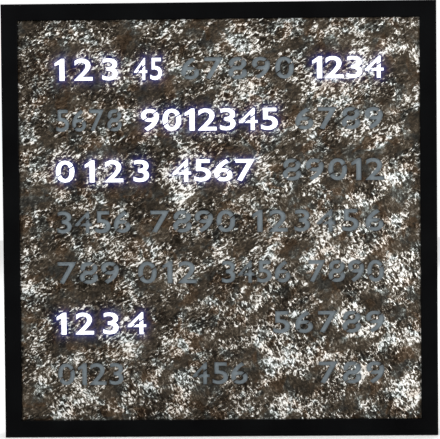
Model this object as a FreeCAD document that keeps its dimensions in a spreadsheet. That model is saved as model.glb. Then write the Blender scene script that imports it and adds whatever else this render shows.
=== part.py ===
import FreeCAD, Part
import math
import os
import re

import Sketcher

# A square word clock for the wall: a mitred box frame holds a stencil plate over an opal sheet,
# a grid of light cells, seven rows of lamps, the control board and a screwed back panel.
# X runs to the right seen from the front, the face looks along -Y, and Z is up.
# The wall touches the clock at y = 0, and the origin is the centre of that plane.

doc = FreeCAD.newDocument("word_clock")
V = FreeCAD.Vector

# Driving sizes in millimetres, with what each one is.
SIZES = (
    ("frame_side", 500, "outer side of the square frame"),
    ("frame_depth", 50, "front face to rear face of the rails"),
    ("rail_face", 19, "width of a rail seen from the front"),
    ("rail_wall", 14, "thickness of a rail behind its lip"),
    ("lip_depth", 5, "thickness of the lip over the plate"),
    ("edge_round", 1.2, "rounding of the front edges"),
    ("sheet_gap", 0.4, "free play of each sheet inside the rails"),
    ("plate_thick", 2, "stencil plate"),
    ("diffuser_thick", 3, "opal sheet"),
    ("baffle_depth", 14, "depth of the light cells"),
    ("baffle_wall", 3, "wall between two light cells"),
    ("baffle_gap", 12.6, "grid of cells to the battens at its sides"),
    ("carrier_thick", 2, "sheet that carries the lamp strips"),
    ("chamber_depth", 17, "room for the electronics"),
    ("panel_thick", 3, "back panel"),
    ("spacer_width", 11, "battens between the sheets"),
    ("row_share", 117.4, "row to row, in thousandths of the frame's side"),
    ("drop_share", 3, "rows below the middle, in thousandths of the frame's side"),
    ("figure_share", 51, "height of the figures, in thousandths of the frame's side"),
    ("window_margin", 2.5, "window beyond the figures all round"),
    ("strip_width", 10, "lamp strip"),
    ("strip_thick", 1, "lamp strip"),
    ("strip_overhang", 8, "lamp strip beyond the grid of cells at each end"),
    ("lamp_side", 5, "one lamp on a strip"),
    ("lamp_height", 1.5, "one lamp on a strip"),
    ("lamp_count", 13, "lamps on a strip"),
    ("channel_gap", 0.5, "play of a lamp strip in its channel"),
    ("ribbon_width", 5, "lead between two strips"),
    ("ribbon_thick", 1.2, "lead between two strips"),
    ("brace_leg", 42, "leg of a corner brace"),
    ("brace_width", 9, "width of a corner brace"),
    ("brace_thick", 1.5, "sheet of a corner brace"),
    ("brace_inset", 2.5, "corner brace from the outer side"),
    ("bumper_height", 6, "rubber feet against the wall"),
    ("bumper_side", 10, "rubber feet against the wall"),
    ("bumper_taper_angle", 8, "slope of the rubber feet's sides, in degrees"),
    ("bumper_inset", 62, "rubber feet from the corner, along the rail"),
    ("hanger_drop", 70, "hanger pivot below the top edge"),
    ("hanger_inset", 7.5, "hanger from the outer side"),
    ("strap_width", 8, "hanger strap"),
    ("strap_thick", 1.2, "hanger strap"),
    ("strap_length", 36, "hanger strap below its pivot"),
    ("wire_radius", 1.2, "wire of the hanger ring"),
    ("pin_play", 0.3, "ring wire to the strap's barrel"),
    ("ring_side_gap", 0.4, "ring wire to the side of the strap"),
    ("ring_corner", 2, "bend of the ring beside its bar"),
    ("ring_leg", 6, "pivot to the round end of the ring"),
    ("strap_hole_first", 18, "first hanger screw below the pivot"),
    ("strap_hole_step", 12, "between the hanger screws"),
    ("screw_radius", 1.5, "shank of the wood screws"),
    ("screw_head_radius", 2.8, "head of the wood screws"),
    ("screw_head_height", 1.6, "head of the wood screws"),
    ("screw_length", 9, "shank of the wood screws"),
    ("screw_play", 0.2, "shank to the hole in a sheet"),
    ("panel_screw_edge", 20, "panel screws from the corner of the sheet"),
    ("board_width", 92, "control board"),
    ("board_height", 52, "control board"),
    ("board_thick", 1.6, "control board"),
    ("board_bottom", 32, "control board above the bottom rail"),
    ("standoff_radius", 2.8, "posts under the control board"),
    ("standoff_inset", 4, "posts from the board's edge"),
    ("button_pitch", 18, "distance between the push buttons"),
    ("button_radius", 2.5, "cap of a push button"),
    ("button_flange", 4, "radius of the collar that keeps the button in"),
    ("collar_thick", 1.2, "collar of a push button"),
    ("button_travel", 1.2, "stroke of a push button"),
    ("button_proud", 1.8, "cap beyond the back panel"),
    ("button_play", 0.3, "free play round a button"),
    ("button_rise", 10, "buttons above the board's lower edge"),
    ("switch_side", 6, "body of a switch"),
    ("switch_height", 3.5, "body of a switch"),
    ("jack_offset", 150, "power socket from the middle"),
    ("jack_radius", 4, "barrel of the power socket"),
    ("jack_bore", 3.1, "bore of the power socket"),
    ("jack_pin", 1, "contact pin of the power socket"),
    ("jack_flange_radius", 5.6, "flange of the power socket"),
    ("jack_flange_thick", 1.6, "flange of the power socket"),
    ("jack_recess", 2.4, "counterbore for the flange"),
    ("jack_length", 17, "barrel of the power socket"),
    ("jack_depth", 10, "depth of the bore"),
    ("jack_play", 0.2, "barrel to the hole in the rail"),
    ("nut_across", 11, "nut of the power socket"),
    ("nut_thick", 2, "nut of the power socket"),
    ("lead_radius", 1.1, "leads inside the case"),
    ("lead_bend", 5, "bend of the leads"),
    ("cell_radius", 10, "coin cell"),
    ("cell_thick", 3.2, "coin cell"),
    ("cell_play", 0.1, "coin cell in its holder"),
    ("holder_base", 1, "floor of the cell's holder"),
    ("holder_wall", 1.2, "wall of the cell's holder"),
    ("can_radius", 3.15, "supply capacitor"),
    ("can_height", 5.4, "supply capacitor"),
    ("can_foot_side", 6.6, "square base of the capacitor"),
    ("can_foot_thick", 1, "square base of the capacitor"),
)

# The word places of each row: left and right edge from the middle of the face, in thousandths
# of the frame's side.
WORD_PLACES = (
    ((-378, -232), (-194, -130), (-86, 174), (216, 380)),
    ((-376, -224), (-180, 136), (176, 378)),
    ((-378, -162), (-108, 82), (146, 380)),
    ((-376, -206), (-160, 36), (76, 378)),
    ((-376, -234), (-190, -54), (4, 162), (204, 378)),
    ((-380, -172), (122, 378)),
    ((-378, -226), (-66, 62), (226, 378)),
)
ROWS = len(WORD_PLACES)

sheet = doc.addObject("Spreadsheet::Sheet", "sizes")
for line, (alias, size, meaning) in enumerate(SIZES, start=1):
    sheet.set(f"A{line}", meaning)
    sheet.set(f"B{line}", str(size))
    sheet.setAlias(f"B{line}", alias)
for row, words in enumerate(WORD_PLACES, start=1):
    for number, (left, right) in enumerate(words, start=1):
        line += 1
        sheet.set(f"A{line}", f"left and right edge of place {number} in row {row}")
        for column, side, size in (("B", "left", left), ("C", "right", right)):
            sheet.set(f"{column}{line}", str(size))
            sheet.setAlias(f"{column}{line}", f"place_{row}_{number}_{side}")
doc.recompute()

NAMES = re.compile(r"\b[a-z]+(?:_[a-z0-9]+)+\b")


def linked(text):
    """An expression with each size named in the sheet."""
    return NAMES.sub(lambda name: "sizes." + name.group(), str(text))


def value(text):
    """The present value of an expression."""
    return float(sheet.evalExpression(str(text)))


# Planes of the stack and of the frame, as expressions of the sizes.
HALF = "(frame_side / 2)"
INSIDE = "(frame_side / 2 - rail_wall)"
SHEET = "(frame_side / 2 - rail_wall - sheet_gap)"
THOUSANDTH = "(frame_side / 1000)"
ROW_PITCH = f"(row_share * {THOUSANDTH})"
TEXT_DROP = f"(drop_share * {THOUSANDTH})"
CELLS_REACH = f"({SHEET} - spacer_width - baffle_gap)"
STRIP_REACH = f"({CELLS_REACH} + strip_overhang)"
LAMP_PITCH = f"(2 * {STRIP_REACH} / lamp_count)"
REAR = "(-bumper_height)"
FRONT = f"({REAR} - frame_depth)"
PLATE_BACK = f"({FRONT} + lip_depth + plate_thick)"
DIFFUSER_BACK = f"({PLATE_BACK} + diffuser_thick)"
CELLS_BACK = f"({DIFFUSER_BACK} + baffle_depth)"
CARRIER_BACK = f"({CELLS_BACK} + carrier_thick)"
CHAMBER_BACK = f"({CARRIER_BACK} + chamber_depth)"
PANEL_BACK = f"({CHAMBER_BACK} + panel_thick)"
SWITCH_BACK = f"({CHAMBER_BACK} - 2 * button_play - collar_thick - button_travel)"
BOARD_BACK = f"({SWITCH_BACK} - switch_height)"
BOARD_FRONT = f"({BOARD_BACK} - board_thick)"
BOARD_LOW = f"(-{INSIDE} + board_bottom)"
BOARD_MIDDLE = f"({BOARD_LOW} + board_height / 2)"
JACK_Y = f"({CARRIER_BACK} + chamber_depth / 2)"
PIVOT_Z = f"({HALF} - hanger_drop)"
BARREL_BORE = "(wire_radius + pin_play)"
PIVOT_Y = f"({REAR} + {BARREL_BORE} + strap_thick)"
HANGER_X = f"({HALF} - hanger_inset)"
RING_HALF = "(strap_width / 2 + ring_side_gap + wire_radius)"


def row_middle(row):
    """Height of the middle of a row, counted from 1 at the top."""
    return f"({ROW_PITCH} * ({ROWS + 1} / 2 - {row}) - {TEXT_DROP})"


def edge(row, number, side):
    """Left or right edge of a word place."""
    return f"(place_{row}_{number}_{side} * {THOUSANDTH})"


# Sketches, bodies and simple solids

def bind(thing, **expressions):
    for name, text in expressions.items():
        thing.setExpression(name, linked(text))


def place(thing, x=None, y=None, z=None):
    for axis, text in (("x", x), ("y", y), ("z", z)):
        if text is not None:
            thing.setExpression(f"Placement.Base.{axis}", linked(text))
    return thing


def new_body(label):
    body = doc.addObject("PartDesign::Body", label)
    body.Label = label
    return body


def sketch_on(body, role, offset, name):
    """A sketch parallel to one of the body's origin planes, moved along that plane's normal."""
    plane = next(item for item in body.Origin.OriginFeatures if item.Role == role)
    sketch = body.newObject("Sketcher::SketchObject", name)
    sketch.AttachmentSupport = (plane, "")
    sketch.MapMode = "FlatFace"
    sketch.setExpression("AttachmentOffset.Base.z", linked(offset))
    return sketch


def fix_point(sketch, curve, end, x, y):
    for kind, text in (("DistanceX", x), ("DistanceY", y)):
        number = sketch.addConstraint(Sketcher.Constraint(kind, -1, 1, curve, end, value(text)))
        sketch.setExpression(f"Constraints[{number}]", linked(text))


def add_polygon(sketch, points):
    """Straight lines through points that are given as pairs of expressions."""
    first = sketch.GeometryCount
    count = len(points)
    corners = [V(value(x), value(y), 0) for x, y in points]
    for step in range(count):
        sketch.addGeometry(Part.LineSegment(corners[step], corners[(step + 1) % count]))
    for step, (x, y) in enumerate(points):
        following = first + (step + 1) % count
        sketch.addConstraint(Sketcher.Constraint("Coincident", first + step, 2, following, 1))
        fix_point(sketch, first + step, 1, x, y)


def add_circle(sketch, x, y, radius):
    circle = sketch.addGeometry(Part.Circle(V(value(x), value(y), 0), V(0, 0, 1), value(radius)))
    fix_point(sketch, circle, 3, x, y)
    number = sketch.addConstraint(Sketcher.Constraint("Radius", circle, value(radius)))
    sketch.setExpression(f"Constraints[{number}]", linked(radius))


def rectangle(left, low, right, high):
    return [(left, low), (right, low), (right, high), (left, high)]


def square(half):
    return rectangle(f"-{half}", f"-{half}", half, half)


def slab(label, back, thickness, outline, windows=(), holes=()):
    """A sheet across Y: its rear face lies at back, and it grows towards the front."""
    body = new_body(label)
    profile = sketch_on(body, "XZ_Plane", f"-({back})", label + "_outline")
    for points in (outline, *windows):
        add_polygon(profile, points)
    for x, z, radius in holes:
        add_circle(profile, x, z, radius)
    pad = body.newObject("PartDesign::Pad", label + "_pad")
    pad.Profile = profile
    bind(pad, Length=thickness)
    return body


def pocket(body, name, role, offset, outlines=(), circles=(), depth=None, reverse=False):
    """Cut outlines from a body: through everything, both ways, where no depth is given."""
    profile = sketch_on(body, role, offset, name + "_outline")
    for points in outlines:
        add_polygon(profile, points)
    for x, y, radius in circles:
        add_circle(profile, x, y, radius)
    doc.recompute()
    before = body.Shape.Volume
    cut = body.newObject("PartDesign::Pocket", name)
    cut.Profile = profile
    if depth is None:
        cut.Type = "ThroughAll"
        cut.SideType = "Symmetric"
    else:
        bind(cut, Length=depth)
        cut.Reversed = reverse
    doc.recompute()
    if body.Shape.Volume > before - 0.01:
        raise RuntimeError(name + " cuts nothing")
    return cut


def soften(body, name, edges, radius):
    """Round the named edges of the body's last feature."""
    last = body.Tip
    fillet = body.newObject("PartDesign::Fillet", name)
    fillet.Base = (last, edges)
    bind(fillet, Radius=radius)
    body.Tip = fillet


def box(label, x, y, z, width, depth, height):
    solid = doc.addObject("Part::Box", label)
    bind(solid, Length=width, Width=depth, Height=height)
    return place(solid, x, y, z)


def cylinder(label, x, y, z, radius, length, axis="Z"):
    """A cylinder that starts at the given point and runs along one axis."""
    solid = doc.addObject("Part::Cylinder", label)
    bind(solid, Radius=radius, Height=length)
    turns = {"Z": (V(0, 0, 1), 0), "Y": (V(1, 0, 0), -90), "X": (V(0, 1, 0), 90)}
    solid.Placement.Rotation = FreeCAD.Rotation(*turns[axis])
    return place(solid, x, y, z)


def fused(label, *solids):
    joined = doc.addObject("Part::MultiFuse", label)
    joined.Shapes = list(solids)
    return joined


def cut_from(label, base, *tools):
    for number, tool in enumerate(tools, start=1):
        result = doc.addObject("Part::Cut", label if number == len(tools) else f"{label}_{number}")
        result.Base = base
        result.Tool = tool
        base = result
    return base


def copies(label, master, spots):
    """One group of separate copies of a piece, each at its own spot (x, y, z, turn about Y)."""
    group = []
    for number, (x, y, z, turn) in enumerate(spots, start=1):
        copy = doc.addObject("App::Link", f"{label}_{number}")
        copy.LinkedObject = master
        copy.Placement = FreeCAD.Placement(V(), FreeCAD.Rotation(V(0, 1, 0), turn))
        group.append(place(copy, x, y, z))
    compound = doc.addObject("Part::Compound", label)
    compound.Links = group
    return compound


# The frame

def front_edges(shape):
    """The two long edges of a rail's front face."""
    front = value(FRONT)
    found = []
    for number, line in enumerate(shape.Edges, start=1):
        span = line.BoundBox
        if span.XLength > value(INSIDE) and abs(span.YMin - front) < 0.01 and span.YLength < 0.01:
            if span.ZLength < 0.01:
                found.append(f"Edge{number}")
    return found


def frame_rail(label, turn, jack=False):
    """A mitred rail with a lip in front, drawn as the top rail and turned about Y."""
    body = new_body(label)
    profile = sketch_on(body, "YZ_Plane", "0", label + "_profile")
    add_polygon(profile, [
        (FRONT, f"{HALF} - rail_face"), (f"{FRONT} + lip_depth", f"{HALF} - rail_face"),
        (f"{FRONT} + lip_depth", INSIDE), (REAR, INSIDE), (REAR, HALF), (FRONT, HALF)])
    pad = body.newObject("PartDesign::Pad", label + "_pad")
    pad.Profile = profile
    pad.SideType = "Symmetric"
    bind(pad, Length="frame_side")
    inner = f"{HALF} - rail_face"
    mitres = []
    for sign in ("", "-"):
        mitres.append([(f"{sign}{HALF}", HALF), (f"{sign}{HALF}", inner), (f"{sign}({inner})", inner)])
    pocket(body, label + "_mitres", "XZ_Plane", "0", mitres)
    if jack:
        # Drawn at the top like the rail itself, so the offset changes sign with the half turn.
        spot = ("-jack_offset", JACK_Y)
        pocket(body, label + "_barrel_hole", "XY_Plane", HALF,
               circles=[(*spot, "jack_radius + jack_play")], depth="rail_wall + lip_depth")
        pocket(body, label + "_flange_seat", "XY_Plane", HALF,
               circles=[(*spot, "jack_flange_radius + jack_play")], depth="jack_recess")
    doc.recompute()
    soften(body, label + "_front_edges", front_edges(body.Tip.Shape), "edge_round")
    body.Placement.Rotation = FreeCAD.Rotation(V(0, 1, 0), turn)
    return body


def prism(label, sides, radius, start, length):
    """A many sided bar along Y, from start towards the wall."""
    solid = doc.addObject("Part::Prism", label)
    solid.Polygon = sides
    bind(solid, Circumradius=radius, Height=length)
    solid.Placement.Rotation = FreeCAD.Rotation(V(1, 0, 0), -90)
    return place(solid, y=start)


def screw_hole(x, z):
    """Eight sides are enough for a hole that a screw's head covers."""
    radius = "(screw_radius + screw_play)"
    turns = [math.radians(45 * step + 22.5) for step in range(8)]
    return [(f"{x} + {radius} * {math.cos(turn):.5f}", f"{z} + {radius} * {math.sin(turn):.5f}")
            for turn in turns]


def screw_pattern(label, length):
    """A screw along Y with its head towards the wall and its seat at y = 0."""
    shank = prism(label + "_shank", 8, "screw_radius", f"-({length})", length)
    head = prism(label + "_head", 12, "screw_head_radius", "0", "screw_head_height")
    return fused(label, shank, head)


def corner_braces():
    """Four flat steel angles behind the mitres."""
    outer = f"({HALF} - brace_inset)"
    inner = f"({outer} - brace_width)"
    foot = f"({outer} - brace_leg)"
    master = slab("brace_pattern", f"{REAR} + brace_thick", "brace_thick",
                  [(foot, outer), (outer, outer), (outer, foot), (inner, foot), (inner, inner), (foot, inner)],
                  [screw_hole(*spot) for spot in brace_screw_spots()])
    return copies("corner_braces", master, [("0", "0", "0", turn) for turn in (0, 90, 180, 270)])


def brace_screw_spots():
    line = f"({HALF} - brace_inset - brace_width / 2)"
    end = f"({HALF} - brace_inset - brace_leg + brace_width / 2)"
    return [(line, end), (end, line)]


def brace_screws(screw):
    spots = []
    for a, b in brace_screw_spots():
        for x in ("", "-"):
            for z in ("", "-"):
                spots.append((f"{x}{a}", f"{REAR} + brace_thick", f"{z}{b}", 0))
    return copies("corner_brace_screws", screw, spots)


def wall_bumpers():
    """Four square rubber feet, narrower at the wall, that keep the clock off it."""
    half = "(bumper_side / 2)"
    master = slab("bumper_pattern", "0", "bumper_height", square(half))
    doc.recompute()
    draft = master.newObject("PartDesign::Draft", "bumper_taper")
    pad = master.Group[-2]
    sides = [f"Face{number}" for number, face in enumerate(pad.Shape.Faces, start=1)
             if face.BoundBox.YLength > 0.01]
    root = next(f"Face{number}" for number, face in enumerate(pad.Shape.Faces, start=1)
                if face.BoundBox.YMax < -0.01)
    draft.Base = (pad, sides)
    draft.NeutralPlane = (pad, [root])
    bind(draft, Angle="bumper_taper_angle")
    master.Tip = draft
    line = f"({HALF} - rail_wall / 2)"
    along = f"({HALF} - bumper_inset)"
    spots = [(f"{x}{along}", "0", f"{z}{line}", 0) for x in ("", "-") for z in ("", "-")]
    return copies("wall_bumpers", master, spots)


# The lit face

def windows():
    found = []
    reach = f"(figure_share * {THOUSANDTH} / 2 + window_margin)"
    for row, words in enumerate(WORD_PLACES, start=1):
        middle = row_middle(row)
        for number in range(1, len(words) + 1):
            left = f"{edge(row, number, 'left')} - window_margin"
            right = f"{edge(row, number, 'right')} + window_margin"
            found.append(rectangle(left, f"{middle} - {reach}", right, f"{middle} + {reach}"))
    return found


def face_plate():
    """The stencil plate, with one window for each word place."""
    return slab("face_plate", PLATE_BACK, "plate_thick", square(SHEET), windows())


def cells():
    """One light cell behind each window, walled halfway between two word places."""
    side = f"({CELLS_REACH} - baffle_wall)"
    found = []
    for row, words in enumerate(WORD_PLACES, start=1):
        low = f"{row_middle(row)} - {ROW_PITCH} / 2 + baffle_wall / 2"
        high = f"{row_middle(row)} + {ROW_PITCH} / 2 - baffle_wall / 2"
        left = f"-{side}"
        for number in range(1, len(words) + 1):
            if number == len(words):
                right = side
                following = None
            else:
                wall = f"({edge(row, number, 'right')} + {edge(row, number + 1, 'left')}) / 2"
                right = f"{wall} - baffle_wall / 2"
                following = f"{wall} + baffle_wall / 2"
            found.append(rectangle(left, low, right, high))
            left = following
    return found


def baffle_grid():
    """The grid of light cells, with a channel across its rear for each lamp strip."""
    reach = f"({ROW_PITCH} * {ROWS} / 2 + baffle_wall / 2)"
    outline = rectangle(f"-{CELLS_REACH}", f"-{reach} - {TEXT_DROP}", CELLS_REACH, f"{reach} - {TEXT_DROP}")
    body = slab("baffle_grid", CELLS_BACK, "baffle_depth", outline, cells())
    half = "(strip_width / 2 + channel_gap)"
    beyond = STRIP_REACH
    channels = []
    for row in range(1, ROWS + 1):
        middle = row_middle(row)
        channels.append(rectangle(f"-{beyond}", f"{middle} - {half}", beyond, f"{middle} + {half}"))
    pocket(body, "baffle_channels", "XZ_Plane", f"-{CELLS_BACK}", channels,
           depth="strip_thick + lamp_height + channel_gap", reverse=True)
    return body


def led_strip(row):
    """A strip across the face with a row of square lamps on its front."""
    name = f"led_strip_row_{row}"
    body = slab(name, CELLS_BACK, "strip_thick",
                rectangle(f"-{STRIP_REACH}", "-strip_width / 2", STRIP_REACH, "strip_width / 2"))
    lamp = sketch_on(body, "XZ_Plane", f"-{CELLS_BACK} + strip_thick", name + "_lamp_outline")
    first = f"(-{LAMP_PITCH} * (lamp_count - 1) / 2)"
    add_polygon(lamp, rectangle(f"{first} - lamp_side / 2", "-lamp_side / 2",
                                f"{first} + lamp_side / 2", "lamp_side / 2"))
    raised = body.newObject("PartDesign::Pad", name + "_lamp")
    raised.Profile = lamp
    bind(raised, Length="lamp_height")
    doc.recompute()
    repeat = body.newObject("PartDesign::LinearPattern", name + "_lamps")
    repeat.Originals = [raised]
    repeat.Direction = (lamp, ["H_Axis"])
    bind(repeat, Length=f"{LAMP_PITCH} * (lamp_count - 1)", Occurrences="lamp_count")
    body.Tip = repeat
    return place(body, z=row_middle(row))


def strip_ribbons():
    """Flat leads that join the strips at alternate ends."""
    ribbons = []
    for row in range(1, ROWS):
        start = f"{STRIP_REACH} - ribbon_width" if row % 2 else f"-{STRIP_REACH}"
        ribbons.append(box(f"ribbon_{row}", start, f"{CELLS_BACK} - strip_thick - ribbon_thick",
                           f"{row_middle(row + 1)} - strip_width / 4",
                           "ribbon_width", "ribbon_thick", f"{ROW_PITCH} + strip_width / 2"))
    group = doc.addObject("Part::Compound", "strip_ribbons")
    group.Links = ribbons
    return group


def spacers(label, front, depth, gaps=()):
    """Battens round the inside of the rails; gaps opens the lower one at the power socket."""
    outer = SHEET
    inner = f"({SHEET} - spacer_width)"
    lower = [(f"-{outer}", outer)]
    for low, high in gaps:
        lower = [(f"-{outer}", low), (high, outer)]
    pieces = [box(f"{label}_top", f"-{outer}", front, inner, f"2 * {outer}", depth, "spacer_width")]
    for number, (left, right) in enumerate(lower, start=1):
        pieces.append(box(f"{label}_bottom_{number}", left, front, f"-{outer}",
                          f"{right} - ({left})", depth, "spacer_width"))
    for side, left in (("left", f"-{outer}"), ("right", inner)):
        pieces.append(box(f"{label}_{side}", left, front, f"-{inner}", "spacer_width", depth, f"2 * {inner}"))
    group = doc.addObject("Part::Compound", label)
    group.Links = pieces
    return group


def rim_spots(back):
    """Eight screw places round the rim of the back panel, over the battens."""
    line = f"({SHEET} - spacer_width / 2)"
    along = f"({SHEET} - panel_screw_edge)"
    spots = []
    for sign in ("", "-"):
        for end in ("", "-"):
            spots.append((f"{sign}{line}", back, f"{end}{along}", 0))
            spots.append((f"{end}{along} * 0.5", back, f"{sign}{line}", 0))
    return spots


# The control board and what is on it

def button_x(number):
    return f"({number - 1} * button_pitch - board_width / 4)"


BUTTON_Z = f"({BOARD_LOW} + button_rise)"
BUTTONS = ("hour_button", "minute_button", "brightness_button")


def push_button(label, x):
    """A cap with a collar that keeps it behind the panel."""
    foot = f"{CHAMBER_BACK} - button_play - collar_thick"
    collar = cylinder(label + "_collar", x, foot, BUTTON_Z, "button_flange", "collar_thick", "Y")
    cap = cylinder(label + "_cap", x, foot, BUTTON_Z, "button_radius",
                   "collar_thick + button_play + panel_thick + button_proud", "Y")
    return fused(label, collar, cap)


def button_switches():
    """Three switch bodies under the buttons."""
    solids = []
    for number in range(1, len(BUTTONS) + 1):
        solids.append(box(f"switch_{number}", f"{button_x(number)} - switch_side / 2", BOARD_BACK,
                          f"{BUTTON_Z} - switch_side / 2", "switch_side", "switch_height", "switch_side"))
    group = doc.addObject("Part::Compound", "button_switches")
    group.Links = solids
    return group


def post_spots(y):
    """The four corners of the board where it is screwed to its posts."""
    across = "(board_width / 2 - standoff_inset)"
    up = "(board_height / 2 - standoff_inset)"
    return [(f"{x}{across}", y, f"{BOARD_MIDDLE} {z} {up}", 0) for x in ("", "-") for z in ("+", "-")]


def controller_board():
    half = "board_width / 2"
    return slab("controller_board", BOARD_BACK, "board_thick",
                rectangle(f"-{half}", BOARD_LOW, half, f"{BOARD_LOW} + board_height"),
                [screw_hole(x, z) for x, _, z, _ in post_spots("0")])


def board_posts():
    """Hexagonal posts between the lamp carrier and the board."""
    length = f"({BOARD_FRONT} - {CARRIER_BACK})"
    flat = f"(standoff_radius * {math.sqrt(0.75):.5f})"
    corners = [("standoff_radius", "0"), ("standoff_radius / 2", flat), ("-standoff_radius / 2", flat),
               ("-standoff_radius", "0"), ("-standoff_radius / 2", f"-{flat}"), ("standoff_radius / 2", f"-{flat}")]
    return copies("board_posts", slab("post_pattern", length, length, corners), post_spots(CARRIER_BACK))


# Parts on the board: name, middle in half widths and half heights from the board's middle,
# then width, thickness and height.
BOARD_BLOCKS = (
    ("processor_module", -0.52, 0.23, 18, 3.1, 25),
    ("clock_chip", -0.04, 0.38, 7.5, 2.4, 10),
    ("power_connector", 0.83, -0.3, 6, 5, 12),
    ("led_connector", -0.85, 0.08, 5, 5, 10),
)
CELL_SPOT = (0.44, 0.3)
CAPACITOR_SPOT = (0.83, 0.46)


def on_board(across, up):
    """A point of the board, from shares of its half width and half height."""
    return f"({across} * board_width / 2)", f"({BOARD_MIDDLE} + {up} * board_height / 2)"


def board_block(name, across, up, width, thick, height):
    x, z = on_board(across, up)
    return box(name, f"{x} - {width} / 2", BOARD_BACK, f"{z} - {height} / 2", width, thick, height)


def lead_mouth(name, side):
    """The middle of a connector's side face, where its lead goes in."""
    _, across, up, width, thick, _ = next(block for block in BOARD_BLOCKS if block[0] == name)
    x, z = on_board(across, up)
    return f"({x} + {side} * {width} / 2)", f"({BOARD_BACK} + {thick} / 2)", z


def coin_cell_holder():
    """A holder with a round seat that is open at the top, where the cell slides in."""
    x, z = on_board(*CELL_SPOT)
    half = "(cell_radius + cell_play + holder_wall)"
    outer = box("holder_outside", f"{x} - {half}", BOARD_BACK, f"{z} - {half}",
                f"2 * {half}", "holder_base + cell_thick", f"{half} + cell_radius / 2")
    seat = cylinder("holder_seat", x, f"{BOARD_BACK} + holder_base", z, "cell_radius + cell_play",
                    "2 * cell_thick", "Y")
    return cut_from("coin_cell_holder", outer, seat)


def coin_cell():
    x, z = on_board(*CELL_SPOT)
    return cylinder("coin_cell", x, f"{BOARD_BACK} + holder_base", z, "cell_radius", "cell_thick", "Y")


def supply_capacitor():
    """A round can on a square base."""
    x, z = on_board(*CAPACITOR_SPOT)
    half = "can_foot_side / 2"
    base = box("capacitor_base", f"{x} - {half}", BOARD_BACK, f"{z} - {half}",
               "can_foot_side", "can_foot_thick", "can_foot_side")
    can = cylinder("capacitor_can", x, BOARD_BACK, z, "can_radius", "can_height", "Y")
    return fused("supply_capacitor", base, can)


# The power socket in the bottom rail and the leads inside the case

def dc_socket():
    """A round socket with its flange in the rail's counterbore and a contact pin in its bore."""
    face = f"(-{HALF} + jack_recess - jack_flange_thick)"
    seat = f"(-{HALF} + jack_recess)"
    x, y = "jack_offset", JACK_Y
    flange = cylinder("socket_flange", x, y, face, "jack_flange_radius", "jack_flange_thick")
    barrel = cylinder("socket_barrel", x, y, seat, "jack_radius", "jack_length")
    bore = cylinder("socket_bore", x, y, face, "jack_bore", "jack_depth")
    pin = cylinder("socket_pin", x, y, f"{face} + 1", "jack_pin", "jack_depth - 1")
    shell = cut_from("socket_shell", fused("socket_outside", flange, barrel), bore)
    return fused("dc_socket", shell, pin)


def dc_socket_nut():
    """A hexagon nut that clamps the socket from inside the rail."""
    nut = doc.addObject("Part::Prism", "nut_outside")
    nut.Polygon = 6
    bind(nut, Circumradius="nut_across / 1.7320508", Height="nut_thick")
    place(nut, "jack_offset", JACK_Y, f"-{INSIDE}")
    hole = cylinder("nut_hole", "jack_offset", JACK_Y, f"-{INSIDE}", "jack_radius", "nut_thick")
    return cut_from("dc_socket_nut", nut, hole)


LEAD_HOLE_X = "(-board_width / 2 - 24)"
LEAD_HOLE_Z = on_board(0, 0.08)[1]
WIRE_SIDES = 6


def many_sided(centre, along, radius):
    """A regular polygon round a point, square to a direction."""
    side = along.cross(V(0, 1, 0) if abs(along.y) < 0.5 else V(1, 0, 0)).normalize()
    other = along.cross(side)
    corners = []
    for step in range(WIRE_SIDES + 1):
        angle = math.tau * ((step % WIRE_SIDES) + 0.5) / WIRE_SIDES
        corners.append(centre + side * (radius * math.cos(angle)) + other * (radius * math.sin(angle)))
    return Part.makePolygon(corners)


def lead(label, points):
    """A round lead along straight runs with a tangent arc at each turn."""
    spots = [V(*(value(size) for size in point)) for point in points]
    bend = value("lead_bend")
    edges = []
    start = spots[0]
    for before, corner, after in zip(spots, spots[1:], spots[2:]):
        first = (before - corner).normalize()
        second = (after - corner).normalize()
        half_turn = first.getAngle(second) / 2
        setback = bend / math.tan(half_turn)
        entry = corner + first * setback
        leave = corner + second * setback
        middle_way = (first + second).normalize()
        middle = corner + middle_way * (bend / math.sin(half_turn) - bend)
        edges.append(Part.LineSegment(start, entry).toShape())
        edges.append(Part.Arc(entry, middle, leave).toShape())
        start = leave
    edges.append(Part.LineSegment(start, spots[-1]).toShape())
    path = Part.Wire(edges)
    along = (spots[1] - spots[0]).normalize()
    radius = value("lead_radius")
    solid = path.makePipeShell([many_sided(spots[0], along, radius)], True, False)
    thing = doc.addObject("Part::Feature", label)
    thing.Shape = solid
    section = WIRE_SIDES * math.sin(math.tau / WIRE_SIDES) / 2 * radius ** 2
    print(label, "length", round(path.Length, 1), "volume ratio",
          round(solid.Volume / (section * path.Length), 3))
    return thing


def power_lead():
    """From the rear of the power socket up and across to the board."""
    top = f"(-{HALF} + jack_recess + jack_length)"
    x, y, z = lead_mouth("power_connector", 1)
    return lead("power_lead", [
        ("jack_offset", JACK_Y, top), ("jack_offset", JACK_Y, z), (f"{x} + 60", JACK_Y, z),
        (f"{x} + 48", y, z), (x, y, z)])


def led_lead():
    """From the board through the carrier's hole to the end of the lowest lamp strip."""
    x, y, z = lead_mouth("led_connector", -1)
    return lead("led_lead", [
        (x, y, z), (f"{LEAD_HOLE_X} + 16", y, z), (LEAD_HOLE_X, f"{CARRIER_BACK} + 8", z),
        (LEAD_HOLE_X, CELLS_BACK, z)])


# The back

def led_carrier():
    """The sheet behind the cells, clamped between the battens, with a hole for the lamp lead."""
    hole = (LEAD_HOLE_X, LEAD_HOLE_Z, "2 * lead_radius")
    return slab("led_carrier", CARRIER_BACK, "carrier_thick", square(SHEET), holes=[hole])


def back_panel():
    """The hardboard back, with holes for the buttons; its screws bite through it."""
    holes = []
    for number in range(1, len(BUTTONS) + 1):
        holes.append((button_x(number), BUTTON_Z, "button_radius + button_play"))
    return slab("back_panel", PANEL_BACK, "panel_thick", square(SHEET), holes=holes)


# The hangers

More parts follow.
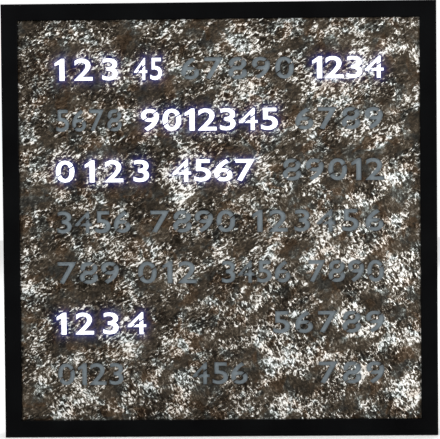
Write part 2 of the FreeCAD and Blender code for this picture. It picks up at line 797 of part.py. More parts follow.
def hanger_strap(label, side):
    """A steel strap rolled round the bar of its ring, with two screw holes."""
    x = f"({side}{HANGER_X})"
    left = f"{x} - strap_width / 2"
    outer = f"({BARREL_BORE} + strap_thick)"
    barrel = cylinder(label + "_barrel", left, PIVOT_Y, PIVOT_Z, outer, "strap_width", "X")
    flat = box(label + "_flat", left, REAR, f"{PIVOT_Z} - strap_length + strap_width / 2",
               "strap_width", "strap_thick", "strap_length - strap_width / 2")
    toe = cylinder(label + "_toe", x, REAR, f"{PIVOT_Z} - strap_length + strap_width / 2",
                   "strap_width / 2", "strap_thick", "Y")
    solid = fused(label + "_blank", barrel, flat, toe)
    tools = [cylinder(label + "_bore", left, PIVOT_Y, PIVOT_Z, BARREL_BORE, "strap_width", "X")]
    for number in (0, 1):
        hole = prism(f"{label}_hole_{number}", 8, "screw_radius + screw_play", REAR, "strap_thick")
        tools.append(place(hole, x=x, z=f"{PIVOT_Z} - strap_hole_first - {number} * strap_hole_step"))
    return cut_from(label, solid, *tools)


def hanger_ring(label, side):
    """A wire ring, straight through the strap's barrel and round at its free end, hanging down."""
    half = value(RING_HALF)
    corner = value("ring_corner")
    leg = value("ring_leg")
    bar = half - corner
    lean = corner * (1 - math.sqrt(0.5))

    def spot(x, z):
        return V(x, 0, z)

    path = Part.Wire([
        Part.LineSegment(spot(0, 0), spot(bar, 0)).toShape(),
        Part.Arc(spot(bar, 0), spot(half - lean, -lean), spot(half, -corner)).toShape(),
        Part.LineSegment(spot(half, -corner), spot(half, -leg)).toShape(),
        Part.Arc(spot(half, -leg), spot(0, -leg - half), spot(-half, -leg)).toShape(),
        Part.LineSegment(spot(-half, -leg), spot(-half, -corner)).toShape(),
        Part.Arc(spot(-half, -corner), spot(-half + lean, -lean), spot(-bar, 0)).toShape(),
        Part.LineSegment(spot(-bar, 0), spot(0, 0)).toShape()])
    section = many_sided(V(0, 0, 0), V(1, 0, 0), value("wire_radius"))
    thing = doc.addObject("Part::Feature", label)
    thing.Shape = path.makePipeShell([section], True, False)
    return place(thing, f"{side}{HANGER_X}", PIVOT_Y, PIVOT_Z)


def hanger_screws(screw):
    spots = []
    for side in ("", "-"):
        for number in (0, 1):
            spots.append((f"{side}{HANGER_X}", f"{REAR} + strap_thick",
                          f"{PIVOT_Z} - strap_hole_first - {number} * strap_hole_step", 0))
    return copies("hanger_screws", screw, spots)


screw = screw_pattern("wood_screw", "screw_length")
pieces = [
    frame_rail("frame_top_rail", 0),
    frame_rail("frame_right_rail", 90),
    frame_rail("frame_bottom_rail", 180, jack=True),
    frame_rail("frame_left_rail", 270),
    corner_braces(),
    brace_screws(screw),
    wall_bumpers(),
    face_plate(),
    box("diffuser_sheet", f"-{SHEET}", PLATE_BACK, f"-{SHEET}", f"2 * {SHEET}", "diffuser_thick", f"2 * {SHEET}"),
    baffle_grid(),
    spacers("front_spacers", DIFFUSER_BACK, "baffle_depth"),
    led_carrier(),
    strip_ribbons(),
    spacers("rear_spacers", CARRIER_BACK, "chamber_depth",
            gaps=[("jack_offset - nut_across", "jack_offset + nut_across")]),
    controller_board(),
    board_posts(),
    copies("board_screws", screw_pattern("board_screw", "board_thick * 3"), post_spots(BOARD_BACK)),
    button_switches(),
    coin_cell_holder(),
    coin_cell(),
    supply_capacitor(),
    dc_socket(),
    dc_socket_nut(),
    power_lead(),
    led_lead(),
    back_panel(),
    copies("back_panel_screws", screw, rim_spots(PANEL_BACK)),
    hanger_strap("hanger_strap_left", "-"),
    hanger_strap("hanger_strap_right", ""),
    hanger_ring("hanger_ring_left", "-"),
    hanger_ring("hanger_ring_right", ""),
    hanger_screws(screw),
]
pieces += [led_strip(row) for row in range(1, ROWS + 1)]
pieces += [board_block(*block) for block in BOARD_BLOCKS]
pieces += [push_button(label, button_x(number)) for number, label in enumerate(BUTTONS, start=1)]
doc.recompute()

for item in doc.Objects:
    if "Invalid" in item.State or "Error" in item.State:
        raise RuntimeError(f"{item.Label}: {item.State}")
os.makedirs("parts", exist_ok=True)
for piece in pieces:
    shape = piece.Shape
    if shape.isNull() or not shape.isValid():
        raise RuntimeError(piece.Label + " has no valid solid")
    shape.exportStep(f"parts/{piece.Label}.step")
    print(piece.Label, len(shape.Solids), "solid(s)", round(shape.Volume / 1000, 2), "cm3")
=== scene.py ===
import math
import bmesh
import bpy
from mathutils import Euler, Matrix, Vector, kdtree, noise


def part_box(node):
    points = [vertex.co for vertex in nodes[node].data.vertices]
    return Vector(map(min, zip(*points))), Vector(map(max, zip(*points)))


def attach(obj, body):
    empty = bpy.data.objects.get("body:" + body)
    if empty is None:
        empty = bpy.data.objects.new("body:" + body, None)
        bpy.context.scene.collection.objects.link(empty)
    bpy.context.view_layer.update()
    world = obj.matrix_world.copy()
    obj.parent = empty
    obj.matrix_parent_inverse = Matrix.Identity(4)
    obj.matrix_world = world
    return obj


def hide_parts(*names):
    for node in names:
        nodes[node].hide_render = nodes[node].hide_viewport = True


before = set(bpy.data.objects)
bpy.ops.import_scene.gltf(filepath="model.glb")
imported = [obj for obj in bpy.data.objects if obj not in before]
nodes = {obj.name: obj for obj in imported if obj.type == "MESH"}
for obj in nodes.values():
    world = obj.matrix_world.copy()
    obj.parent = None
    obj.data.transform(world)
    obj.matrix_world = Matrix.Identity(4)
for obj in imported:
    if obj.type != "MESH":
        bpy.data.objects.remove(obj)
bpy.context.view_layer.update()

# %% [markdown]
# ## What is on the table
# A square word clock: a black lacquered box frame around a sheet of crumpled metal, with rows of
# bold figures cut through the sheet like a stencil. Lamps behind an opal sheet light some of them.
# The frame, the back and the moving pieces are already there at their real size. This lesson
# gives each of them its finish, and makes the crumpled sheet, its figures and the glow.

# %% Units and the places that everything else is worked out from
MM = 0.001
plate_low, plate_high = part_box("face_plate")
sheet_low, sheet_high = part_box("diffuser_sheet")
rail_low, rail_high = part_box("frame_left_rail")
PLATE_FRONT = plate_low.y
PLATE_BACK = plate_high.y
PLATE_HALF = plate_high.x
FRAME_HALF = -rail_low.x
RAIL_FACE = rail_high.x - rail_low.x
OPENING_HALF = FRAME_HALF - RAIL_FACE
FRAME_FRONT = rail_low.y
print("stencil plate", round(PLATE_HALF * 2 / MM), "mm wide,",
      round((PLATE_BACK - PLATE_FRONT) / MM, 1), "mm thick")


# %% [markdown]
# ## Colours and nodes
# A hex colour is what a paint chart or a picture editor shows, and it is bent towards the eye.
# Shaders reckon with light, so one function straightens each colour out. A second small function
# adds a shader node with its settings and its links, because every finish below is a short
# chain of such nodes.

# %% Two helpers for every finish
def linear(hex_colour):
    """The light of an sRGB hex colour, with alpha 1."""
    steps = [int(hex_colour[i:i + 2], 16) / 255 for i in (1, 3, 5)]
    return tuple(s / 12.92 if s <= 0.04045 else ((s + 0.055) / 1.055) ** 2.4 for s in steps) + (1.0,)


def add_node(tree, kind, settings=None, links=None):
    """One node: settings are its own fields or plain input values, links join its inputs."""
    node = tree.nodes.new(kind)
    for name, setting in (settings or {}).items():
        if isinstance(name, int) or name in node.inputs:
            node.inputs[name].default_value = setting
        else:
            setattr(node, name, setting)
    for name, source in (links or {}).items():
        tree.links.new(source, node.inputs[name])
    return node


def ramp(tree, factor, stops):
    """A colour ramp from (position, hex colour) stops."""
    node = add_node(tree, "ShaderNodeValToRGB", links={"Fac": factor})
    bar = node.color_ramp.elements
    while len(bar) < len(stops):
        bar.new(0.5)
    for element, (position, colour) in zip(bar, stops):
        element.position = position
        element.color = linear(colour)
    return node.outputs["Color"]


def per_metre(size_in_mm):
    """A texture scale whose features are about this size."""
    return 1 / (size_in_mm * MM)


# %% [markdown]
# ## One start for every finish
# All the finishes share a beginning: a material with one principled shader, the object's own
# coordinates, and a bump that is driven by some pattern. Object coordinates are metres from the
# clock's origin, so a pattern keeps its real size on every piece.

# %% The shared start of a finish
def new_finish(name, metallic=0.0, roughness=0.5, **plain):
    """An empty finish: its material, node tree, shader and the place on the object."""
    material = bpy.data.materials.new(name)
    material.use_nodes = True
    tree = material.node_tree
    tree.nodes.clear()
    out = add_node(tree, "ShaderNodeOutputMaterial")
    shader = add_node(tree, "ShaderNodeBsdfPrincipled",
                      {"Metallic": metallic, "Roughness": roughness, **plain})
    tree.links.new(shader.outputs[0], out.inputs["Surface"])
    place = add_node(tree, "ShaderNodeTexCoord").outputs["Object"]
    return material, tree, shader, place


def grain(tree, place, size, stretch=(1, 1, 1), turn=(0, 0, 0), detail=3, rough=0.55, distortion=0.0):
    """Noise whose features are about size millimetres, drawn out along an axis."""
    scale = [1 / s for s in stretch]
    spot = add_node(tree, "ShaderNodeMapping", {"Rotation": turn}, {"Vector": place})
    drawn = add_node(tree, "ShaderNodeVectorMath",
                     {"operation": "MULTIPLY", 1: scale}, {0: spot.outputs[0]})
    looks = {"Scale": per_metre(size), "Detail": detail, "Roughness": rough, "Distortion": distortion}
    made = add_node(tree, "ShaderNodeTexNoise", looks, {"Vector": drawn.outputs[0]})
    return made.outputs["Fac"]


def bump_from(tree, shader, height, depth_in_mm, strength=0.6):
    """Let a pattern tilt the light as if it were that deep."""
    made = add_node(tree, "ShaderNodeBump",
                    {"Strength": strength, "Distance": depth_in_mm * MM}, {"Height": height})
    tree.links.new(made.outputs["Normal"], shader.inputs["Normal"])


def spread(tree, factor, low, high):
    """Noise keeps mostly to its middle, from 0.3 to 0.7; this brings that to a new range."""
    made = add_node(tree, "ShaderNodeMapRange",
                    {"From Min": 0.3, "From Max": 0.7, "To Min": low, "To Max": high},
                    {"Value": factor})
    return made.outputs[0]


def simple_finish(name, dark, light, size, roughness, depth, metallic=0.0, **options):
    """A two tone finish with the same noise in colour, gloss and bump."""
    material, tree, shader, place = new_finish(name, metallic)
    pattern = grain(tree, place, size, **options)
    tree.links.new(ramp(tree, pattern, [(0.3, dark), (0.7, light)]), shader.inputs["Base Color"])
    tree.links.new(spread(tree, pattern, *roughness), shader.inputs["Roughness"])
    bump_from(tree, shader, pattern, depth)
    return material


# %% [markdown]
# ## The camera
# The photograph looks almost straight at the face from about 1.6 m, a little from the right and
# from above, and the picture is turned by half a degree. A long lens of 114 mm on a 36 mm film
# gives the same slight taper of the frame.

# %% The camera, set from the photograph's taper
PICTURE_WIDTH = 440
FOCAL_PIXELS = 1400
FILM_WIDTH = 36
EYE_RIGHT, EYE_UP, EYE_AWAY = 28.6, 39.1, 1609.8
EYE = Vector((EYE_RIGHT * MM, FRAME_FRONT - EYE_AWAY * MM, EYE_UP * MM))
AIM_OFF = 0.5
AIM = Vector((AIM_OFF * MM, FRAME_FRONT, AIM_OFF * MM))
ROLL = math.radians(0.5)
camera = bpy.data.objects.new("studio_camera", bpy.data.cameras.new("studio_camera"))
camera.data.sensor_width = FILM_WIDTH
camera.data.lens = FOCAL_PIXELS * FILM_WIDTH / PICTURE_WIDTH
look = (AIM - EYE).to_track_quat("-Z", "Y")
camera.rotation_euler = (look @ Euler((0, 0, -ROLL)).to_quaternion()).to_euler()
camera.location = EYE
bpy.context.scene.collection.objects.link(camera)
bpy.context.scene.camera = camera
print("camera", [round(v, 3) for v in EYE], "lens", round(camera.data.lens, 1), "mm")

# %% [markdown]
# ## The studio
# Product pictures of this kind stand on white. The world is white for what the camera sees,
# directly or in a reflection, and dimmer for what it adds as light, so the clock isn't washed
# out. One large soft lamp from the upper left adds to the sheet's sparkle, most of which is
# painted glints in its colour, and puts the thin shade along the left and upper edges of each cut,
# as in the photograph, beside the painted shadow that runs round every cut. The floor is lifted a
# little for the camera alone, so it meets the white behind it without an edge.

# %% World, floor and lamps
scene = bpy.context.scene
scene.view_settings.view_transform = "Standard"
world = bpy.data.worlds.new("studio_world")
scene.world = world
world.use_nodes = True
sky = world.node_tree
sky.nodes.clear()
WORLD_LIGHT = 0.55
path = add_node(sky, "ShaderNodeLightPath")
seen = add_node(sky, "ShaderNodeMath", {"operation": "MAXIMUM"},
                {0: path.outputs["Is Camera Ray"], 1: path.outputs["Is Glossy Ray"]})
seen = add_node(sky, "ShaderNodeMath", {"operation": "MAXIMUM"},
                {0: seen.outputs[0], 1: path.outputs["Is Transmission Ray"]})
level = add_node(sky, "ShaderNodeMapRange",
                 {"To Min": WORLD_LIGHT, "To Max": 1.0}, {"Value": seen.outputs[0]})
background = add_node(sky, "ShaderNodeBackground",
                      {"Color": (1, 1, 1, 1)}, {"Strength": level.outputs[0]})
add_node(sky, "ShaderNodeOutputWorld", links={"Surface": background.outputs[0]})


def soft_lamp(name, spot, size, watts):
    """A square lamp of that size in metres, aimed at the middle of the clock."""
    lamp = bpy.data.lights.new(name, "AREA")
    lamp.shape = "SQUARE"
    lamp.size = size
    lamp.energy = watts
    holder = bpy.data.objects.new(name, lamp)
    holder.location = spot
    holder.rotation_euler = (-Vector(spot)).to_track_quat("-Z", "Y").to_euler()
    scene.collection.objects.link(holder)


soft_lamp("key_lamp", (-1.5, -1.6, 1.9), 0.7, 34)
soft_lamp("fill_lamp", (1.9, -1.9, 0.3), 1.2, 20)
soft_lamp("rear_lamp", (0.8, 2.4, 1.6), 1.4, 30)

FLOOR_HALF = 6
FLOOR_GAP = 0.5
FLOOR_LIFT = 0.2
floor_bm = bmesh.new()
bmesh.ops.create_grid(floor_bm, x_segments=1, y_segments=1, size=FLOOR_HALF)
bmesh.ops.translate(floor_bm, verts=floor_bm.verts, vec=(0, 0, -FRAME_HALF - FLOOR_GAP * MM))
floor_mesh = bpy.data.meshes.new("studio_floor")
floor_bm.to_mesh(floor_mesh)
floor_bm.free()
floor = bpy.data.objects.new("studio_floor", floor_mesh)
scene.collection.objects.link(floor)
floor_paint = simple_finish("matt_white_floor", "#F8F8F7", "#FEFEFD", 400, (0.85, 0.95), 0)
floor_tree = floor_paint.node_tree
floor_seen = add_node(floor_tree, "ShaderNodeLightPath")
floor_lift = add_node(floor_tree, "ShaderNodeMath", {"operation": "MULTIPLY", 1: FLOOR_LIFT},
                      {0: floor_seen.outputs["Is Camera Ray"]})
floor_shader = next(n for n in floor_tree.nodes if n.bl_idname == "ShaderNodeBsdfPrincipled")
floor_shader.inputs["Emission Color"].default_value = (1, 1, 1, 1)
floor_tree.links.new(floor_lift.outputs[0], floor_shader.inputs["Emission Strength"])
floor_mesh.materials.append(floor_paint)
print("floor", round(FRAME_HALF / MM + FLOOR_GAP, 1), "mm below the middle of the clock")


# %% [markdown]
# ## From a bmesh to a piece
# Each new piece is built in a bmesh, written to a mesh and joined to the body that carries it.
# The same function does this for all of them, so no piece can be left without a body, a slot
# or a finish.

# %% Finish a piece
def make_piece(name, bm, finishes, stands_for, body="case", smooth_angle=None):
    """Turn a bmesh into a piece that stands for a bare node and rides on a body."""
    mesh = bpy.data.meshes.new(name)
    bm.to_mesh(mesh)
    bm.free()
    for finish in finishes:
        mesh.materials.append(finish)
    piece = bpy.data.objects.new(name, mesh)
    scene.collection.objects.link(piece)
    if smooth_angle is not None:
        mesh.shade_smooth()
        mesh.set_sharp_from_angle(angle=math.radians(smooth_angle))
    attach(piece, body)
    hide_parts(stands_for)
    print(name, len(mesh.polygons), "faces")


# %% [markdown]
# ## Where the figures go
# The seven rows hold places of different lengths, some lit and some not. Each place holds plain
# figures that count upwards over the whole face, as many as the place has room for. A place is
# written as its left edge, its right edge, how many figures it holds and whether the lamps
# behind it are on.

# %% The places, in millimetres from the middle of the face
ROW_PITCH = 58.7
TEXT_DROP = 1.5
CAP_HEIGHT = 25.5
LIT, DARK = True, False
PLACES = (
    ((-189, -116, 3, LIT), (-97, -65, 2, LIT), (-43, 87, 5, DARK), (108, 190, 4, LIT)),
    ((-188, -112, 4, DARK), (-90, 68, 7, LIT), (88, 189, 4, DARK)),
    ((-189, -81, 4, LIT), (-54, 41, 4, LIT), (73, 190, 5, DARK)),
    ((-188, -103, 4, DARK), (-80, 18, 4, DARK), (38, 189, 6, DARK)),
    ((-188, -117, 3, DARK), (-95, -27, 3, DARK), (2, 81, 4, DARK), (102, 189, 4, DARK)),
    ((-190, -86, 4, LIT), (61, 189, 5, DARK)),
    ((-189, -113, 4, DARK), (-33, 31, 3, DARK), (113, 189, 3, DARK)),
)
ROWS = len(PLACES)


def row_middle(row):
    """Height of a row's middle, rows counted from 0 at the top."""
    return (ROW_PITCH * ((ROWS - 1) / 2 - row) - TEXT_DROP) * MM


# %% [markdown]
# ## Stencil figures
# A figure that is cut right through a sheet drops its closed middle, so a stencil keeps thin
# bridges across the strokes of a 0, 4, 6, 8 and 9. Here each figure starts as flat text, apart
# from the 1: the type draws it as a bare bar that could be read as a letter, so it is drawn
# here with its slanting head, from seven points. The others are made a little bolder by the
# type curve's offset, except the 4, whose small middle would close. The bridges are made by
# cutting the flat figure along two parallel slanting lines through each closed middle and
# taking out the strip between them, which leaves the sheet's metal standing there.

# %% Flat figures with their bridges
FONT_CAP = 0.694  # height of a figure in type of size 1
BOLD_OFFSET = 0.45
TEXT_SIZE = (CAP_HEIGHT - 2 * BOLD_OFFSET) / FONT_CAP
BRIDGE_WIDTH = 1.1
# The middles are written in shares of the type's size, from the left and from the foot.
BRIDGE_TURN = math.radians(42)
CLOSED_MIDDLES = {"0": ((0.25, 0.34),), "4": ((0.27, 0.36),), "6": ((0.26, 0.22),),
                  "8": ((0.25, 0.52), (0.25, 0.18)), "9": ((0.24, 0.46),)}

type_curve = bpy.data.curves.new("figure_type", "FONT")
type_curve.size = TEXT_SIZE * MM
type_curve.resolution_u = 4
type_curve.fill_mode = "FRONT"
type_holder = bpy.data.objects.new("figure_type", type_curve)
scene.collection.objects.link(type_holder)


def cut_strip(bm, middle, turn, width):
    """Take a strip of the flat figure out, along a line through a point."""
    along = Vector((math.cos(turn), math.sin(turn), 0))
    across = Vector((-along.y, along.x, 0))
    for side in (-1, 1):
        everything = bm.verts[:] + bm.edges[:] + bm.faces[:]
        edge = middle + across * side * width / 2
        bmesh.ops.bisect_plane(bm, geom=everything, plane_co=edge, plane_no=across)
    inside = [f for f in bm.faces if abs((f.calc_center_median() - middle).dot(across)) < width / 2]
    bmesh.ops.delete(bm, geom=inside, context="FACES")


def drawn_one(bm):
    """A 1 with a slanting head: a stem, and a stroke that falls to the left of its top."""
    stem, reach, stroke = 4.5, 4.2, 3.6
    top = CAP_HEIGHT
    shoulder = top * 0.80
    corners = ((reach, 0), (reach + stem, 0), (reach + stem, top), (reach + stem * 0.35, top),
               (0, shoulder), (0, shoulder - stroke), (reach, shoulder - stroke * 0.35))
    bm.faces.new([bm.verts.new((x * MM, y * MM, 0)) for x, y in corners])


def flat_figure(figure):
    """One figure lying in X and Y, its left edge at 0 and its foot at 0, in metres."""
    bm = bmesh.new()
    if figure == "1":
        drawn_one(bm)
        return bm
    type_curve.body = figure
    type_curve.offset = 0 if figure == "4" else BOLD_OFFSET * MM
    bpy.context.view_layer.update()
    shaped = type_holder.evaluated_get(bpy.context.evaluated_depsgraph_get())
    bm.from_mesh(bpy.data.meshes.new_from_object(shaped))
    bmesh.ops.remove_doubles(bm, verts=bm.verts, dist=0.01 * MM)
    for x, y in CLOSED_MIDDLES.get(figure, ()):
        cut_strip(bm, Vector((x, y, 0)) * TEXT_SIZE * MM, BRIDGE_TURN, BRIDGE_WIDTH * MM)
    bmesh.ops.dissolve_limit(bm, angle_limit=math.radians(2), verts=bm.verts, edges=bm.edges)
    left = min(v.co.x for v in bm.verts)
    foot = min(v.co.y for v in bm.verts)
    bmesh.ops.translate(bm, verts=bm.verts, vec=(-left, -foot, 0))
    return bm


figure_meshes = {}
for figure in "0123456789":
    bm = flat_figure(figure)
    mesh = bpy.data.meshes.new("figure_" + figure)
    bm.to_mesh(mesh)
    bm.free()
    figure_meshes[figure] = mesh
    wide = max(v.co.x for v in mesh.vertices)
    tall = max(v.co.y for v in mesh.vertices)
    print("figure", figure, round(wide / MM, 1), "x", round(tall / MM, 1), "mm")
bpy.data.objects.remove(type_holder)


# %% [markdown]
# ## Setting the rows
# A place's figures are spread so that the first starts at its left edge and the last ends at its
# right edge, as a typesetter justifies a line. They are first widened a little, up to a limit,
# because the cuts of the real sheet are wider than plain type. Three flat sheets of figures are
# set: one becomes the cutter, and the other two tell later how near a cut or a lit cut is.

# %% Set every place
LEAST_GAP = 3.4
WIDEST = 1.32


def set_place(bm, figures, left, right, middle):
    """Add a place's figures to a flat bmesh that lies in X and Z."""
    widths = [max(v.co.x for v in figure_meshes[f].vertices) for f in figures]
    room = (right - left) * MM
    widen = min(WIDEST, (room - LEAST_GAP * MM * (len(figures) - 1)) / sum(widths))
    gap = (room - widen * sum(widths)) / (len(figures) - 1)
    x = left * MM
    for figure, width in zip(figures, widths):
        tall = max(v.co.y for v in figure_meshes[figure].vertices)
        before = len(bm.verts)
        bm.from_mesh(figure_meshes[figure])
        bm.verts.ensure_lookup_table()
        fresh = bm.verts[before:]
        stretch = Matrix.Diagonal((widen, CAP_HEIGHT * MM / tall, 1, 1))
        upright = Matrix.Rotation(math.radians(90), 4, "X")
        shift = Matrix.Translation((x, 0, middle - CAP_HEIGHT * MM / 2))
        bmesh.ops.transform(bm, matrix=shift @ upright @ stretch, verts=fresh)
        x += widen * width + gap


all_figures = bmesh.new()
lit_outline = bmesh.new()
any_outline = bmesh.new()
figures_set = 0
for row, places in enumerate(PLACES):
    for left, right, how_many, lit in places:
        figures = [str((figures_set + step + 1) % 10) for step in range(how_many)]
        figures_set += how_many
        for sheet in (all_figures, any_outline, lit_outline) if lit else (all_figures, any_outline):
            set_place(sheet, figures, left, right, row_middle(row))
print(figures_set, "figures set in", sum(len(places) for places in PLACES), "places")


# %% [markdown]
# ## The crumpled sheet
# The real sheet is thin metal that was crumpled, flattened and cut. A bump map would stay flat
# at its edges and in the mesh itself, so the crumples are real relief here. The plate starts
# as a closed slab whose front is a fine grid. The figures are cut out with a boolean while it
# is still flat, which is quick and clean, and only then is the front pushed in and out.

# %% The slab and the figures' cutter
GRID = 272
CUTTER_AHEAD = 2
CUTTER_DEEP = 6
plate = bmesh.new()
bmesh.ops.create_grid(plate, x_segments=GRID, y_segments=GRID, size=PLATE_HALF)
UPRIGHT = Matrix.Rotation(math.radians(90), 3, "X")
bmesh.ops.rotate(plate, verts=plate.verts, cent=(0, 0, 0), matrix=UPRIGHT)
bmesh.ops.translate(plate, verts=plate.verts, vec=(0, PLATE_FRONT, 0))
rim = [e for e in plate.edges if e.is_boundary]
walls = bmesh.ops.extrude_edge_only(plate, edges=rim)
far = [v for v in walls["geom"] if isinstance(v, bmesh.types.BMVert)]
bmesh.ops.translate(plate, verts=far, vec=(0, PLATE_BACK - PLATE_FRONT, 0))
bmesh.ops.contextual_create(plate, geom=[e for e in plate.edges if e.is_boundary])
bmesh.ops.recalc_face_normals(plate, faces=plate.faces)
slab_mesh = bpy.data.meshes.new("stencil_slab")
plate.to_mesh(slab_mesh)
plate.free()

bmesh.ops.translate(all_figures, verts=all_figures.verts, vec=(0, PLATE_FRONT - CUTTER_AHEAD * MM, 0))
solid = bmesh.ops.extrude_face_region(all_figures, geom=all_figures.faces[:])
moved = [v for v in solid["geom"] if isinstance(v, bmesh.types.BMVert)]
bmesh.ops.translate(all_figures, verts=moved, vec=(0, CUTTER_DEEP * MM, 0))
bmesh.ops.recalc_face_normals(all_figures, faces=all_figures.faces)
cutter_mesh = bpy.data.meshes.new("figure_cutter")
all_figures.to_mesh(cutter_mesh)
all_figures.free()


def cut_through(target_mesh, cutter_mesh, overlapping=False):
    """The target with the cutter taken out of it; the cutter's parts may overlap one another."""
    target = bpy.data.objects.new("cut_target", target_mesh)
    cutter = bpy.data.objects.new("cut_tool", cutter_mesh)
    for thing in (target, cutter):
        scene.collection.objects.link(thing)
    boolean = target.modifiers.new("cut", "BOOLEAN")
    boolean.operation = "DIFFERENCE"
    boolean.solver = "EXACT"
    boolean.use_self = overlapping
    boolean.object = cutter
    bpy.context.view_layer.update()
    cut = target.evaluated_get(bpy.context.evaluated_depsgraph_get())
    result = bpy.data.meshes.new_from_object(cut)
    bpy.data.objects.remove(target)
    bpy.data.objects.remove(cutter)
    return result


cut_mesh = cut_through(slab_mesh, cutter_mesh)
print("cut sheet", len(slab_mesh.polygons), "->", len(cut_mesh.polygons), "faces")

# %% [markdown]
# ## The relief and the glow
# Crumpled foil folds into short ridges a few millimetres long that lean the same way for a
# stretch and then turn. Ridged noise gives such folds, and it is drawn out along a slant. The
# relief fades out towards the rim, where the sheet lies flat under the lip, and towards every
# cut, because the foil was pressed flat along the knife's path. The lit figures spill some
# blue light over the metal beside them. Each point keeps how near it is to a lit figure and to
# any cut, and the finish reads both.

# %% Sizes of the folds, in millimetres unless they are shares
RELIEF = 1.1
RELIEF_MIDDLE = 0.1
FOLD_LONG, FOLD_SHORT = 7.8, 4.42
SLANT = math.radians(32)
RIM_FADE = 6
CUT_FADE = 3
CUT_FLAT = 0.5
GLOW_REACH = 3.0
EDGE_REACH = 0.5
BEND_SIZE, BEND_SHARE = 38, 1.6
BROAD_SIZE, BROAD_SHARE = 24, 0.5
RIDGE_STEEPNESS, RIDGE_SHARE = 2.6, 0.65
FINE_STEP, FINE_SHARE = 2.3, 0.45
# Noise is cut at three depths far apart, so that its uses don't look alike.
BEND_LAYER, FOLD_LAYER, BROAD_LAYER = 3.1, 0.7, 9.4


def folds(x, z):
    """Height of the crumples from -1 to 1 at a place on the face, in metres."""
    along = (x * math.cos(SLANT) + z * math.sin(SLANT)) * per_metre(FOLD_LONG)
    across = (z * math.cos(SLANT) - x * math.sin(SLANT)) * per_metre(FOLD_SHORT)
    bend = noise.noise(Vector((x, BEND_LAYER, z)) * per_metre(BEND_SIZE)) * BEND_SHARE
    spot = Vector((along + bend, FOLD_LAYER, across - bend))
    broad = noise.noise(Vector((x, BROAD_LAYER, z)) * per_metre(BROAD_SIZE)) * BROAD_SHARE
    ridge = 1 - RIDGE_STEEPNESS * abs(noise.noise(spot))
    fine = noise.noise(spot * FINE_STEP) * FINE_SHARE
    return max(-1.0, min(1.0, ridge * RIDGE_SHARE + fine + broad))


def outline_tree(bm):
    """A search tree of points a millimetre apart along the outlines of flat figures."""
    points = []
    for line in bm.edges:
        if line.is_boundary:
            steps = max(1, round(line.calc_length() / MM))
            points += [line.verts[0].co.lerp(line.verts[1].co, step / steps) for step in range(steps)]
    tree = kdtree.KDTree(len(points))
    for number, point in enumerate(points):
        tree.insert((point.x, 0, point.z), number)
    tree.balance()
    bm.free()
    return tree


# %% Push the front in and out
near_lit = outline_tree(lit_outline)
near_any = outline_tree(any_outline)
FRONT_DEPTH = 0.1
FRONT_SLOPE = -0.4

foil = bmesh.new()
foil.from_mesh(cut_mesh)
glow_layer = foil.verts.layers.float.new("glow")
edge_layer = foil.verts.layers.float.new("painted_edge_shade")
for v in foil.verts:
    spot = (v.co.x, 0, v.co.z)
    to_cut = near_any.find(spot)[2]
    v[glow_layer] = math.exp(-near_lit.find(spot)[2] / (GLOW_REACH * MM))
    v[edge_layer] = math.exp(-to_cut / (EDGE_REACH * MM))
    if v.co.y < PLATE_FRONT + FRONT_DEPTH * MM:
        from_rim = (OPENING_HALF - max(abs(v.co.x), abs(v.co.z))) / (RIM_FADE * MM)
        from_cut = (to_cut - CUT_FLAT * MM) / (CUT_FADE * MM)
        share = max(0.0, min(1.0, from_rim, from_cut))
        v.co.y -= RELIEF * MM / 2 * (folds(v.co.x, v.co.z) - RELIEF_MIDDLE) * share
for face in foil.faces:
    face.smooth = face.normal.y < FRONT_SLOPE
foil.normal_update()
highest = PLATE_FRONT - min(v.co.y for v in foil.verts)
print("the highest fold stands", round(highest / MM, 2), "mm in front of the flat sheet")

# %% [markdown]
# ## Tarnished foil with painted glints, first its pattern
# Metal leaf on a stiff sheet, brown with tarnish. Its sparkle is painted into its colour: painted
# glints of silver where the pattern runs high, and painted dark reflection in umber where it runs
# low. The pattern is a stack of noises. Flecks a few millimetres long run along the slant of the
# folds, and a broad noise makes whole patches darker. Thin painted glints run as creases where
# another slanted noise crosses its middle value. The leaf is painted a little brighter towards the
# lower right, as painted light, where the folds also lean the other way. Smooth pools of an even,
# darker middle tone lie between the flecks.

# %% The height of the leaf's pattern, sizes in millimetres
foil_finish, tree, shader, place = new_finish("tarnished_leaf_painted_glints", metallic=1.0, roughness=0.3)
SLANTED = (0, SLANT, 0)
CROSSED = (0, math.radians(-62), 0)
SLANTED_STRETCH = (1.5, 1, 0.9)
CREASE_STRETCH = (1.7, 1, 0.8)
FLECK_SIZE, CREASE_SIZE, POOL_SIZE, POOL_TONE_SIZE, PATCH_SIZE, TURN_SIZE = 3.2, 11, 27, 12, 30, 60
PATCH_SHARE = 0.5
CREASE_WIDTH, CREASE_GLINT_LIFT = 0.035, 0.10
POOL_FROM, POOL_TO, POOL_COVER = 0.50, 0.57, 0.62
POOL_LEVEL, POOL_RANGE = 0.742, 0.3
PAINTED_LIGHT_RIGHT, PAINTED_LIGHT_DOWN = 0.11, 0.03
TURN_LEAN = 1.2
TURN_FROM, TURN_TO = 0.55, 0.70

fleck_look = {"detail": 3, "rough": 0.66, "distortion": 0.8}
rising = grain(tree, place, FLECK_SIZE, SLANTED_STRETCH, SLANTED, **fleck_look)
falling = grain(tree, place, FLECK_SIZE, SLANTED_STRETCH, CROSSED, **fleck_look)
